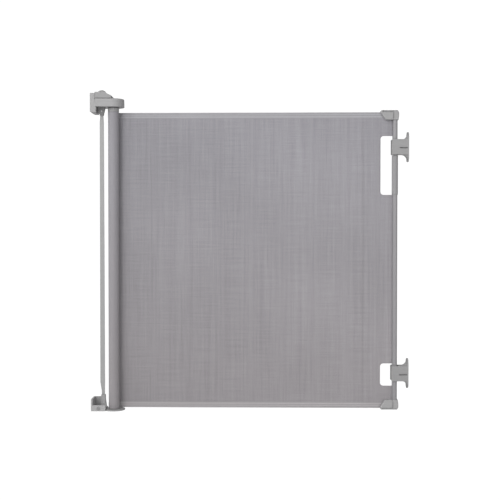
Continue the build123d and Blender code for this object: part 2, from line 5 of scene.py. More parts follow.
import bmesh
import bpy
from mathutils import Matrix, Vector


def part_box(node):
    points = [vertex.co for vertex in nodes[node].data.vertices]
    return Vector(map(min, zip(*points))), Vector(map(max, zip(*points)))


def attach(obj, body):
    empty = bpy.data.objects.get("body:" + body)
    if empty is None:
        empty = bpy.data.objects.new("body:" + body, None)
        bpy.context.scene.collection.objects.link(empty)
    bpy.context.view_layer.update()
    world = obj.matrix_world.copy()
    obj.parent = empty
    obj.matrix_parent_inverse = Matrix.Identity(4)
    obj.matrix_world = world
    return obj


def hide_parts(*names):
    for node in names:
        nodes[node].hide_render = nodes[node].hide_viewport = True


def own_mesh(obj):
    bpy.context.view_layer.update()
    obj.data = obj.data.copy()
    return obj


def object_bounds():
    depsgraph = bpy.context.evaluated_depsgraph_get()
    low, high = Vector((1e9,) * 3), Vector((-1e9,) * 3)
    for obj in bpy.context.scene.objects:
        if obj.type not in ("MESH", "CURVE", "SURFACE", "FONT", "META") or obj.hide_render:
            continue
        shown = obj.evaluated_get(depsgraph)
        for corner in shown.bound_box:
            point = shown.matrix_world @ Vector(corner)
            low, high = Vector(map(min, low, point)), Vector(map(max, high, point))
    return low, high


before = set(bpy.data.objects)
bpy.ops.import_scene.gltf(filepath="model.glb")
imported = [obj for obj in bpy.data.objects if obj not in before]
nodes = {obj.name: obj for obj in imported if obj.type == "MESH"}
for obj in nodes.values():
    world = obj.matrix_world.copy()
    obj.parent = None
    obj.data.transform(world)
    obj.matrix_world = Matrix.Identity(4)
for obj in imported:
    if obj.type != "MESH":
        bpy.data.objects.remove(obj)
cad_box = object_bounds()

MM = 0.001

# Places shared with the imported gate, metres
ROLL_LOW, ROLL_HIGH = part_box("mesh_roll")
ROLL_X = (ROLL_LOW[0] + ROLL_HIGH[0]) / 2
ROLL_R = (ROLL_HIGH[0] - ROLL_LOW[0]) / 2
PANEL_LOW, PANEL_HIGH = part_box("mesh_panel")
PATCH_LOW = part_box("handle_end_reinforcement")[0]
PANEL_END = PANEL_HIGH[0]
Z0, Z1 = PANEL_LOW[2], PANEL_HIGH[2]

# The cloth winds up on the roller's side of the split, and goes with the bar beyond it
SPLIT_X = 0.3365

# Sewing sizes, metres
CLOTH_T = 0.8 * MM
HEM = 15 * MM
CUT_X = 0.3403
UPPER_CUT = (0.5618, 0.7148)
LOWER_CUT = (0.0628, 0.1210)
CUT_CORNER = 8 * MM
NOTCH_X, NOTCH_HIGH = 0.3397, 7.5 * MM
WEAVE = 1.5 * MM
HEM_START = 6 * MM
CLOTH_STEP = 12 * MM
TUBE_R = 10.0 * MM
STITCH_PITCH, STITCH_LENGTH, THREAD_WIDTH = 3.4 * MM, 2.6 * MM, 0.55 * MM
SEWN_LOW, SEWN_HIGH = 3.6 * MM, 8.4 * MM
HEM_SEAMS = (0.4 * MM, SEWN_LOW, SEWN_HIGH, 14.2 * MM)

# Tone where the cloth's second layer starts, and the painted shade of slanting folds in the
# stretched cloth
PATCH_X, PATCH_TONE = 0.2905, 0.972
FOLD_SHADE_SLOPE, FOLD_SHADE_RATE, FOLD_SHADE_LINE, FOLD_SHADE_DEPTH = 0.524, 18.5, 0.528, 0.02

# Camera and lights
CAMERA_PLACE, CAMERA_AIM, CAMERA_LENS = (0.0, -2.6, 0.4679), (0, 0, 0.4179), 71.7
WHITE_LEVEL = 1.05


# ------------------------------------------------------------------ node tools


class Wiring:
    """Adds nodes to a tree and joins them."""

    def __init__(self, tree):
        self.tree = tree

    def node(self, kind, **settings):
        made = self.tree.nodes.new(kind)
        for key, value in settings.items():
            setattr(made, key, value)
        return made

    def link(self, source, target):
        self.tree.links.new(source, target)

    def feed(self, socket, value):
        """Joins a socket, or sets a plain value."""
        if isinstance(value, bpy.types.NodeSocket):
            self.link(value, socket)
        else:
            socket.default_value = value

    def math(self, operation, a, b=0.0, c=0.0, clamp=False):
        made = self.node("ShaderNodeMath", operation=operation, use_clamp=clamp)
        for socket, value in zip(made.inputs, (a, b, c)):
            self.feed(socket, value)
        return made.outputs[0]

    def mix(self, factor, a, b, kind="MIX"):
        made = self.node("ShaderNodeMix", data_type="RGBA", blend_type=kind)
        self.feed(made.inputs[0], factor)
        self.feed(made.inputs[6], a)
        self.feed(made.inputs[7], b)
        return made.outputs[2]

    def remap(self, value, low, high, to_low, to_high):
        made = self.node("ShaderNodeMapRange")
        for socket, given in zip(made.inputs, (value, low, high, to_low, to_high)):
            self.feed(socket, given)
        return made.outputs[0]

    def noise(self, vector, scale, detail=2.0, roughness=0.5):
        made = self.node("ShaderNodeTexNoise")
        self.feed(made.inputs["Vector"], vector)
        self.feed(made.inputs["Scale"], scale)
        made.inputs["Detail"].default_value = detail
        made.inputs["Roughness"].default_value = roughness
        return made.outputs["Fac"]

    def stretch(self, vector, scale):
        made = self.node("ShaderNodeMapping")
        self.feed(made.inputs["Vector"], vector)
        made.inputs["Scale"].default_value = scale
        return made.outputs[0]


def effect_group(name, inputs, outputs):
    """An empty shader group with named sockets. Returns its wiring, inputs and outputs."""
    tree = bpy.data.node_groups.new(name, "ShaderNodeTree")
    for label, kind, default in inputs:
        socket = tree.interface.new_socket(label, in_out="INPUT", socket_type=kind)
        if default is not None:
            socket.default_value = default
    for label, kind in outputs:
        tree.interface.new_socket(label, in_out="OUTPUT", socket_type=kind)
    wire = Wiring(tree)
    return wire, wire.node("NodeGroupInput").outputs, wire.node("NodeGroupOutput").inputs


FLOAT, COLOUR, VECTOR = "NodeSocketFloat", "NodeSocketColor", "NodeSocketVector"


def grain_effect():
    """Moulded or coated grain: a fine height and a slight drift of tone."""
    wire, given, out = effect_group(
        "surface_grain",
        [("Vector", VECTOR, None), ("Grain", FLOAT, 1.0), ("Drift", FLOAT, 0.04)],
        [("Height", FLOAT), ("Tone", FLOAT), ("Gloss", FLOAT)],
    )
    size = wire.math("DIVIDE", 1.0, wire.math("MULTIPLY", given["Grain"], MM))
    fine = wire.noise(given["Vector"], size, 3.0, 0.6)
    pits = wire.node("ShaderNodeTexVoronoi", feature="SMOOTH_F1")
    wire.feed(pits.inputs["Vector"], given["Vector"])
    wire.feed(pits.inputs["Scale"], wire.math("MULTIPLY", size, 1.4))
    height = wire.math("ADD", fine, wire.math("MULTIPLY", pits.outputs["Distance"], 0.5))
    broad = wire.noise(given["Vector"], 14.0, 4.0)
    cloudy = wire.noise(given["Vector"], 90.0, 3.0)
    both = wire.math("ADD", broad, cloudy)
    drift = wire.math("MULTIPLY", wire.math("SUBTRACT", both, 1.0), given["Drift"])
    tone = wire.math("ADD", drift, 1.0)
    speck = wire.math("MULTIPLY", wire.math("SUBTRACT", fine, 0.5), 0.07)
    wire.link(height, out["Height"])
    wire.link(wire.math("ADD", tone, speck), out["Tone"])
    wire.link(wire.remap(cloudy, 0.3, 0.7, -0.05, 0.05), out["Gloss"])
    return wire.tree


def edge_and_shade_effect():
    """Rounded edges for the normal, a mask of where an edge is rubbed, and ambient occlusion for
    painted shade in recesses.
    """
    wire, given, out = effect_group(
        "rubbed_edges_and_shade",
        [("Vector", VECTOR, None), ("Radius", FLOAT, 0.8 * MM)],
        [("Normal", VECTOR), ("Rub", FLOAT), ("Shade", FLOAT)],
    )
    bevel = wire.node("ShaderNodeBevel", samples=4)
    wire.feed(bevel.inputs["Radius"], given["Radius"])
    shape = wire.node("ShaderNodeNewGeometry")
    dot = wire.node("ShaderNodeVectorMath", operation="DOT_PRODUCT")
    wire.link(bevel.outputs[0], dot.inputs[0])
    wire.link(shape.outputs["Normal"], dot.inputs[1])
    turned = wire.math("SUBTRACT", 1.0, dot.outputs["Value"], clamp=True)
    broken = wire.remap(wire.noise(given["Vector"], 260.0, 4.0), 0.35, 0.65, 0.2, 1.0)
    rub = wire.math("MULTIPLY", wire.math("MULTIPLY", turned, 3.0, clamp=True), broken)
    # Ambient occlusion, which sets where painted shade darkens recesses
    occlusion = wire.node("ShaderNodeAmbientOcclusion", samples=6)
    occlusion.inputs["Distance"].default_value = 6 * MM
    wire.link(bevel.outputs[0], out["Normal"])
    wire.link(rub, out["Rub"])
    wire.link(occlusion.outputs["AO"], out["Shade"])
    return wire.tree


def weave_effect():
    """A plain weave seen flat: thread height, how much of a gap it is, and streaks of tone."""
    wire, given, out = effect_group(
        "plain_weave",
        [("Vector", VECTOR, None), ("Pitch", FLOAT, WEAVE), ("Streaks", FLOAT, 0.05)],
        [("Height", FLOAT), ("Gap", FLOAT), ("Tone", FLOAT)],
    )
    part = wire.node("ShaderNodeSeparateXYZ")
    wire.link(given["Vector"], part.inputs[0])
    across = wire.math("DIVIDE", part.outputs["X"], given["Pitch"])
    along = wire.math("DIVIDE", part.outputs["Z"], given["Pitch"])
    waves = []
    for way in (across, along):
        wave = wire.math("COSINE", wire.math("MULTIPLY", way, 2 * pi))
        waves.append(wire.math("MULTIPLY_ADD", wave, 0.5, 0.5))
    turns = []
    for way in (across, along):
        turns.append(wire.math("COSINE", wire.math("MULTIPLY", way, pi)))
    over = wire.math("MULTIPLY", turns[0], turns[1])
    upright = wire.math("MULTIPLY", waves[0], wire.math("MULTIPLY_ADD", over, 0.35, 0.65))
    level = wire.math("MULTIPLY", waves[1], wire.math("MULTIPLY_ADD", over, -0.35, 0.65))
    height = wire.math("MAXIMUM", upright, level)
    gap = wire.remap(wire.math("MAXIMUM", waves[0], waves[1]), 0.12, 0.42, 1.0, 0.0)
    slub = wire.noise(wire.stretch(given["Vector"], (520.0, 520.0, 14.0)), 1.0, 3.0)
    weft = wire.noise(wire.stretch(given["Vector"], (12.0, 12.0, 420.0)), 1.0, 3.0)
    bands = wire.noise(wire.stretch(given["Vector"], (150.0, 150.0, 2.2)), 1.0, 3.0)
    total = wire.math("ADD", wire.math("ADD", slub, weft), bands)
    streak = wire.math("MULTIPLY", wire.math("SUBTRACT", total, 1.5), given["Streaks"])
    wire.link(height, out["Height"])
    wire.link(gap, out["Gap"])
    wire.link(wire.math("ADD", streak, 1.0), out["Tone"])
    return wire.tree


GRAIN = grain_effect()
EDGES_AND_SHADE = edge_and_shade_effect()
PLAIN_WEAVE = weave_effect()


def start_material(name):
    """A material with its shader, its wiring and Object coordinates."""
    made = bpy.data.materials.new(name)
    made.use_nodes = True
    wire = Wiring(made.node_tree)
    shader = made.node_tree.nodes["Principled BSDF"]
    place = wire.node("ShaderNodeTexCoord").outputs["Object"]
    return made, wire, shader, place


def use_group(wire, tree, **values):
    """Places an effect in a material with its own values."""
    made = wire.node("ShaderNodeGroup", node_tree=tree)
    for label, value in values.items():
        wire.feed(made.inputs[label], value)
    return made.outputs


def hard_surface(name, colour, roughness, grain, bump, **more):
    """Moulded plastic, rubber, coated or bare metal with grain, rubbed edges and painted shade in
    recesses.
    """
    made, wire, shader, place = start_material(name)
    fine = use_group(wire, GRAIN, Vector=place, Grain=grain, Drift=more.get("drift", 0.05))
    edge = use_group(wire, EDGES_AND_SHADE, Vector=place, Radius=more.get("radius", 0.7 * MM))
    toned = wire.mix(1.0, (*colour, 1.0), fine["Tone"], "MULTIPLY")
    light = [min(1.0, c * more.get("rubbed", 1.22)) for c in colour]
    rubbed = wire.mix(wire.math("MULTIPLY", edge["Rub"], 0.7), toned, (*light, 1.0))
    # Painted shade: the colour darkens where ambient occlusion finds a recess
    soil = [c * more.get("soil", 0.62) for c in colour]
    painted_shade_mask = wire.remap(edge["Shade"], 0.35, 0.95, more.get("soiling", 0.4), 0.0)
    wire.link(wire.mix(painted_shade_mask, rubbed, (*soil, 1.0)), shader.inputs["Base Color"])
    gloss = wire.math("ADD", fine["Gloss"], roughness)
    wire.link(wire.math("MULTIPLY_ADD", edge["Rub"], -0.08, gloss), shader.inputs["Roughness"])
    shader.inputs["Metallic"].default_value = more.get("metallic", 0.0)
    shader.inputs["Coat Weight"].default_value = more.get("coat", 0.0)
    shader.inputs["Coat Roughness"].default_value = 0.3
    relief = wire.node("ShaderNodeBump")
    relief.inputs["Strength"].default_value = 1.0
    relief.inputs["Distance"].default_value = bump * MM
    wire.link(fine["Height"], relief.inputs["Height"])
    wire.link(edge["Normal"], relief.inputs["Normal"])
    wire.link(relief.outputs[0], shader.inputs["Normal"])
    return made


def seam_lines(wire, height, seams):
    """A mask that is 1 along level seams at the given heights."""
    total = 0.0
    for seam in seams:
        away = wire.math("ABSOLUTE", wire.math("SUBTRACT", height, seam))
        line = wire.remap(away, 0.35 * MM, 1.1 * MM, 1.0, 0.0)
        total = wire.math("MAXIMUM", line, total)
    return total


def woven_cloth(name, colour, streaks, on_uv=False, seams=()):
    """The gate's woven mesh, read on Object coordinates or on the cloth's own length. Painted light
    makes it cooler at the top and warmer at the bottom, and off the roller lighter towards the
    right, with painted shade of slanting folds; painted shade darkens its seams.
    """
    made, wire, shader, place = start_material(name)
    spot = wire.node("ShaderNodeSeparateXYZ")
    wire.link(place, spot.inputs[0])
    # Painted light: cooler at the top and warmer at the bottom
    cool, warm = (1.01, 1.0, 1.035, 1.0), (1.03, 0.99, 0.99, 1.0)
    tone_and_painted_light = wire.mix(wire.remap(spot.outputs["Z"], 0.1, 0.7, 1.0, 0.0), cool, warm)
    # Painted light: lighter towards the right; the step where the second layer starts is the
    # cloth's own tone
    across = wire.remap(spot.outputs["X"], -0.33, 0.37, 0.94, 1.09)
    doubled = wire.remap(spot.outputs["X"], PATCH_X - 1 * MM, PATCH_X + 1 * MM, 1.0, PATCH_TONE)
    across = wire.math("MULTIPLY", across, doubled)
    # Painted shade of slanting folds, in bands across the cloth
    slant = wire.math("MULTIPLY_ADD", spot.outputs["X"], FOLD_SHADE_SLOPE, spot.outputs["Z"])
    phase = wire.math("MULTIPLY_ADD", slant, FOLD_SHADE_RATE, -FOLD_SHADE_LINE * FOLD_SHADE_RATE)
    fold_shade = wire.math("MULTIPLY_ADD", wire.math("COSINE", phase), -FOLD_SHADE_DEPTH, 1.0)
    across = wire.math("MULTIPLY", across, fold_shade)
    cloud = wire.noise(wire.stretch(place, (5.0, 1.0, 4.0)), 1.0, 2.0)
    tone_and_painted_light = wire.mix(1.0, tone_and_painted_light, wire.remap(cloud, 0.3, 0.7, 0.965, 1.035), "MULTIPLY")
    tone_and_painted_light = wire.mix(0.0 if on_uv else 1.0, tone_and_painted_light, across, "MULTIPLY")
    if on_uv:
        uv = wire.node("ShaderNodeUVMap", uv_map="cloth").outputs[0]
        part = wire.node("ShaderNodeSeparateXYZ")
        wire.link(uv, part.inputs[0])
        join = wire.node("ShaderNodeCombineXYZ")
        wire.link(part.outputs["X"], join.inputs["X"])
        wire.link(part.outputs["Y"], join.inputs["Z"])
        place = join.outputs[0]
    weave = use_group(wire, PLAIN_WEAVE, Vector=place, Pitch=WEAVE, Streaks=streaks)
    toned = wire.mix(1.0, (*colour, 1.0), weave["Tone"], "MULTIPLY")
    toned = wire.mix(1.0, toned, tone_and_painted_light, "MULTIPLY")
    # Painted shade of the pressed grooves along the seams
    sewn = seam_lines(wire, spot.outputs["Z"], seams)
    dark = [c * 0.55 for c in colour]
    toned = wire.mix(wire.math("MULTIPLY", sewn, 0.6), toned, (*dark, 1.0))
    gap = [c * 0.45 for c in colour]
    pattern = wire.mix(wire.math("MULTIPLY", weave["Gap"], 0.8), toned, (*gap, 1.0))
    crown = wire.remap(weave["Height"], 0.3, 1.0, 0.92, 1.06)
    wire.link(wire.mix(1.0, pattern, crown, "MULTIPLY"), shader.inputs["Base Color"])
    wire.link(wire.remap(weave["Height"], 0.0, 1.0, 0.85, 0.66), shader.inputs["Roughness"])
    shader.inputs["Sheen Weight"].default_value = 0.12
    shader.inputs["Sheen Roughness"].default_value = 0.5
    shader.inputs["Specular IOR Level"].default_value = 0.3
    relief = wire.node("ShaderNodeBump")
    relief.inputs["Strength"].default_value = 0.9
    relief.inputs["Distance"].default_value = 0.25 * MM
    wire.link(weave["Height"], relief.inputs["Height"])
    wire.link(relief.outputs[0], shader.inputs["Normal"])
    return made


def thread_finish():
    """Twisted sewing thread."""
    made, wire, shader, place = start_material("sewing_thread")
    twist = wire.node("ShaderNodeTexWave", wave_type="BANDS", bands_direction="DIAGONAL")
    wire.link(place, twist.inputs["Vector"])
    twist.inputs["Scale"].default_value = 900.0
    dark, pale = (0.20, 0.19, 0.20, 1.0), (0.31, 0.30, 0.31, 1.0)
    wire.link(wire.mix(twist.outputs["Fac"], dark, pale), shader.inputs["Base Color"])
    wire.link(wire.remap(twist.outputs["Fac"], 0, 1, 0.8, 0.55), shader.inputs["Roughness"])
    relief = wire.node("ShaderNodeBump")
    relief.inputs["Distance"].default_value = 0.08 * MM
    wire.link(twist.outputs["Fac"], relief.inputs["Height"])
    wire.link(relief.outputs[0], shader.inputs["Normal"])
    return made


BRACKET_PLASTIC = hard_surface("bracket_plastic", (0.358, 0.358, 0.358), 0.52, 0.5, 0.05)
# Painted shade: the brackets' plastic, made darker for the lock housing
HOUSING_SHADED_PLASTIC = hard_surface("housing_shaded_plastic", (0.316, 0.316, 0.316), 0.52, 0.5, 0.05)
# Painted light: the brackets' plastic, made lighter for the bottom bracket, with less painted shade
# in its recesses
FOOT_LIT_PLASTIC = hard_surface(
    "foot_lit_plastic", (0.41, 0.41, 0.41), 0.52, 0.5, 0.05, soiling=0.15, soil=0.75
)
# Painted shade: the socket plastic, made darker for the top socket under the arm
TOP_SOCKET_SHADED_PLASTIC = hard_surface("top_socket_shaded_plastic", (0.24, 0.24, 0.24), 0.6, 0.5, 0.05)
COATED_SPRING = hard_surface("coated_spring", (0.33, 0.33, 0.33), 0.6, 0.8, 0.01, soiling=0.1)
SOCKET_PLASTIC = hard_surface("socket_plastic", (0.34, 0.34, 0.34), 0.55, 0.5, 0.05)
CATCH_PLASTIC = hard_surface("catch_plastic", (0.33, 0.33, 0.33), 0.5, 0.5, 0.05)
CAP_PLASTIC = hard_surface("cap_plastic", (0.355, 0.355, 0.355), 0.48, 0.5, 0.04)
# Painted light: the cap plastic, made lighter for the bottom caps
LOWER_CAP_LIT_PLASTIC = hard_surface(
    "lower_cap_lit_plastic", (0.39, 0.39, 0.39), 0.48, 0.5, 0.04, soiling=0.15
)
KNOB_PLASTIC = hard_surface("knob_plastic", (0.33, 0.33, 0.33), 0.42, 0.45, 0.03)
BUTTON_PLASTIC = hard_surface("button_plastic", (0.34, 0.34, 0.34), 0.3, 0.4, 0.01)
GRIP_RUBBER = hard_surface("grip_rubber", (0.305, 0.305, 0.31), 0.66, 0.9, 0.09)
BAR_COAT = hard_surface("bar_coat", (0.30, 0.297, 0.305), 0.4, 1.1, 0.02, coat=0.15)
TIE_COAT = hard_surface("tie_bar_coat", (0.355, 0.36, 0.358), 0.38, 1.1, 0.02, coat=0.15)
INNER_PLASTIC = hard_surface("inner_plastic", (0.30, 0.30, 0.30), 0.5, 0.6, 0.03)
WELT_RUBBER = hard_surface("welt_rubber", (0.22, 0.22, 0.22), 0.7, 0.6, 0.04)
BARE_ALUMINIUM = hard_surface(
    "bare_aluminium", (0.72, 0.72, 0.73), 0.35, 1.5, 0.01, metallic=1.0, soil=0.8
)
ZINC_STEEL = hard_surface(
    "zinc_steel", (0.62, 0.62, 0.63), 0.32, 0.8, 0.01, metallic=1.0, radius=0.2 * MM
)
SPRING_STEEL = hard_surface(
    "spring_steel", (0.55, 0.55, 0.56), 0.28, 1.2, 0.005, metallic=1.0, radius=0.1 * MM
)
SINTERED_STEEL = hard_surface(
    "sintered_steel", (0.45, 0.45, 0.46), 0.45, 0.4, 0.03, metallic=1.0, radius=0.2 * MM
)
MESH_CLOTH = woven_cloth("mesh_cloth", (0.345, 0.342, 0.354), 0.30)
# Painted light: the hem cloth, made lighter for the bottom hem than for the top hem
BOTTOM_HEM_LIT_CLOTH = woven_cloth(
    "bottom_hem_lit_cloth", (0.48, 0.477, 0.485), 0.05, seams=[Z0 + away for away in HEM_SEAMS]
)
TOP_HEM_CLOTH = woven_cloth(
    "top_hem_cloth", (0.448, 0.449, 0.458), 0.05, seams=[Z1 - away for away in HEM_SEAMS]
)
ROLL_CLOTH = woven_cloth("roll_cloth", (0.335, 0.331, 0.341), 0.08, on_uv=True)
THREAD = thread_finish()

FINISHES = {
    "top_bracket": BRACKET_PLASTIC,
    "top_cover": BRACKET_PLASTIC,
    "lock_housing": HOUSING_SHADED_PLASTIC,
    "bottom_bracket": FOOT_LIT_PLASTIC,
    "foot_plate": SOCKET_PLASTIC,
    "tie_bar_top_socket": TOP_SOCKET_SHADED_PLASTIC,
    "tie_bar_bottom_socket": SOCKET_PLASTIC,
    "upper_catch_body": CATCH_PLASTIC,
    "lower_catch_body": CATCH_PLASTIC,
    "top_cap_front": CAP_PLASTIC,
    "top_cap_rear": CAP_PLASTIC,
    "bottom_cap_front": LOWER_CAP_LIT_PLASTIC,
    "bottom_cap_rear": LOWER_CAP_LIT_PLASTIC,
    "lock_knob": KNOB_PLASTIC,
    "release_button": BUTTON_PLASTIC,
    "grip_sleeve": GRIP_RUBBER,
    "handle_bar": BAR_COAT,
    "tie_bar": TIE_COAT,
    "mesh_keder": WELT_RUBBER,
    "mesh_anchor_strip": INNER_PLASTIC,
    "roller_top_plug": SOCKET_PLASTIC,
    "roller_bottom_plug": INNER_PLASTIC,
    "knob_cam_shaft": INNER_PLASTIC,
    "top_bush": INNER_PLASTIC,
    "thrust_washer": INNER_PLASTIC,
    "front_pan_screw": SOCKET_PLASTIC,
    "roller_tube": BARE_ALUMINIUM,
    "torsion_spring": SPRING_STEEL,
    "button_spring": SPRING_STEEL,
    "pawl_spring": SPRING_STEEL,
    "upper_catch_clip": COATED_SPRING,
    "lower_catch_clip": COATED_SPRING,
    "knob_clip": SPRING_STEEL,
    "ratchet_clip": SPRING_STEEL,
    "cover_screws": ZINC_STEEL,
    "tie_bar_screws": ZINC_STEEL,
    "foot_plate_screws": ZINC_STEEL,
    "cap_screws": ZINC_STEEL,
    "pawl_pin": ZINC_STEEL,
    "bottom_spindle": ZINC_STEEL,
    "spring_mandrel": ZINC_STEEL,
    "ratchet_wheel": SINTERED_STEEL,
    "pawl": SINTERED_STEEL,
    "mesh_panel": MESH_CLOTH,
    "mesh_roll": MESH_CLOTH,
    "handle_end_reinforcement": MESH_CLOTH,
}
for name, finish in FINISHES.items():
    nodes[name].data.materials.clear()
    nodes[name].data.materials.append(finish)


# ------------------------------------------------------------------ cloth


def panel_back(x):
    """Y of the panel's rear face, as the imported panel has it."""
    share = (x - ROLL_X) / (PANEL_END - ROLL_X)
    return (ROLL_R + 0.3 * MM + CLOTH_T) * (1 - share) + CLOTH_T / 2 * share


def ripple(x, z):
    """The slight waves of stretched cloth, none at its two held ends."""
    share = (x - ROLL_X) / (PANEL_END - ROLL_X)
    hold = max(0.0, min(1.0, 5 * share, 6 * (1 - share)))
    broad = sin(9.5 * x + 2.0 * z) * 0.5 + sin(21 * x - 1.3 * z + 1.1) * 0.3
    return hold * broad * 0.9 * MM


def cut_out_path(low, high, x_open, inset=0.0):
    """The three sewn sides of a cut-out, from its lower open end to its upper one."""
    x0, z0, z1 = CUT_X - inset, low - inset, high + inset
    r = CUT_CORNER + inset
    points = [(x_open, z0)]
    for k in range(9):
        turn = pi / 2 * k / 8
        points.append((x0 + r - r * sin(turn), z0 + r - r * cos(turn)))
    for k in range(9):
        turn = pi / 2 * k / 8
        points.append((x0 + r - r * cos(turn), z1 - r + r * sin(turn)))
    points.append((x_open, z1))
    return points


def cloth_outline(x0, x1, z0, z1, with_cut_outs):
    """The outline of a cloth in X and Z, anticlockwise seen from the front."""
    points = [(x0, z0), (x1, z0)]
    if z0 < NOTCH_HIGH and x1 > NOTCH_X:
        points = [(x0, z0), (NOTCH_X, z0), (NOTCH_X, NOTCH_HIGH), (x1, NOTCH_HIGH)]
    if with_cut_outs:
        points += cut_out_path(*LOWER_CUT, x1)
        points += cut_out_path(*UPPER_CUT, x1)
    return points + [(x1, z1), (x0, z1)]


def cut_grid(mesh, axis, start, stop, step):
    """Divides a flat cloth along parallel lines."""
    count = max(1, round((stop - start) / step))
    normal = Vector((1, 0, 0)) if axis == 0 else Vector((0, 0, 1))
    for k in range(1, count):
        place = normal * (start + (stop - start) * k / count)
        parts = mesh.verts[:] + mesh.edges[:] + mesh.faces[:]
        bmesh.ops.bisect_plane(mesh, geom=parts, plane_co=place, plane_no=normal, dist=1e-7)


def new_piece(name, data, material):
    """An object for a mesh, with its material."""
    made = bpy.data.objects.new(name, data)
    bpy.context.scene.collection.objects.link(made)
    data.materials.clear()
    data.materials.append(material)
    return made


def cloth_piece(name, outline, front, rear, material, step=CLOTH_STEP):
    """A flat cloth with waves and thickness. Front and rear are offsets from the panel's back."""
    mesh = bmesh.new()
    corners = [mesh.verts.new((x, 0, z)) for x, z in outline]
    loop = [mesh.edges.new((a, b)) for a, b in zip(corners, corners[1:] + corners[:1])]
    bmesh.ops.triangle_fill(mesh, edges=loop, use_beauty=True, normal=(0, -1, 0))
    xs, zs = [p[0] for p in outline], [p[1] for p in outline]
    cut_grid(mesh, 0, min(xs), max(xs), step)
    cut_grid(mesh, 2, min(zs), max(zs), step)
    bmesh.ops.remove_doubles(mesh, verts=mesh.verts[:], dist=1e-6)
    rims = [e for e in mesh.edges if e.is_boundary]
    faces = mesh.faces[:]
    far = bmesh.ops.duplicate(mesh, geom=mesh.verts[:] + mesh.edges[:] + faces)
    twin = far["vert_map"]
    far_faces = [f for f in far["geom"] if isinstance(f, bmesh.types.BMFace)]
    bmesh.ops.reverse_faces(mesh, faces=far_faces)
    for edge in rims:
        a, b = edge.verts
        mesh.faces.new((a, b, twin[b], twin[a]))
    near_side = {v for f in faces for v in f.verts}
    for v in mesh.verts:
        offset = -front if v in near_side else rear
        v.co.y = panel_back(v.co.x) + ripple(v.co.x, v.co.z) + offset
    bmesh.ops.recalc_face_normals(mesh, faces=mesh.faces[:])
    data = bpy.data.meshes.new(name)
    mesh.to_mesh(data)
    mesh.free()
    return new_piece(name, data, material)


def goes_with_gate(piece, at_handle):
    """Cloth at the handle goes with it. The rest goes with the wall side, on a mesh of its own."""
    if at_handle:
        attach(piece, "handle")
        return
    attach(piece, "wall_side")
    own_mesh(piece)


def cloth_pair(name, x0, z0, z1, front, rear, material, with_cut_outs):
    """One cloth in its two lengths: the one that winds up and the one at the handle."""
    made = []
    spans = (("", x0, SPLIT_X, False), ("_handle_end", SPLIT_X, PANEL_END, True))
    for ending, left, right, at_handle in spans:
        outline = cloth_outline(left, right, z0, z1, with_cut_outs and at_handle)
        piece = cloth_piece(name + ending, outline, front, rear, material)
        goes_with_gate(piece, at_handle)
        made.append(piece)
    return made


panel, panel_end = cloth_pair(
    "mesh_panel_cloth", ROLL_X, Z0, Z1, CLOTH_T, 0.0, MESH_CLOTH, True
)
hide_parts("mesh_panel")
patch_front, patch_rear = CLOTH_T + 0.5 * MM, -CLOTH_T - 0.02 * MM
patch, patch_end = cloth_pair(
    "reinforcement_cloth",
    PATCH_LOW[0],
    Z0 + HEM,
    Z1 - HEM,
    patch_front,
    patch_rear,
    MESH_CLOTH,
    True,
)
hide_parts("handle_end_reinforcement")

hems, hem_ends = [], []
for name, low, high, finish in (
    ("bottom_hem", Z0, Z0 + HEM, BOTTOM_HEM_LIT_CLOTH),
    ("top_hem", Z1 - HEM, Z1, TOP_HEM_CLOTH),
):
    for side, front, rear in (("front", CLOTH_T + 0.45 * MM, -CLOTH_T), ("rear", 0.0, 0.45 * MM)):
        low_edge, high_edge = max(Z0, low - 0.2 * MM), min(Z1, high + 0.2 * MM)
        hem, hem_end = cloth_pair(
            f"{name}_{side}",
            ROLL_X + HEM_START,
            low_edge,
            high_edge,
            front,
            rear,
            finish,
            False,
        )
        hems.append(hem)
        hem_ends.append(hem_end)


# ------------------------------------------------------------------ wound cloth

ROLL_TURNS, ROLL_STEPS = 9, 56
LAYER = (ROLL_R - TUBE_R) / ROLL_TURNS


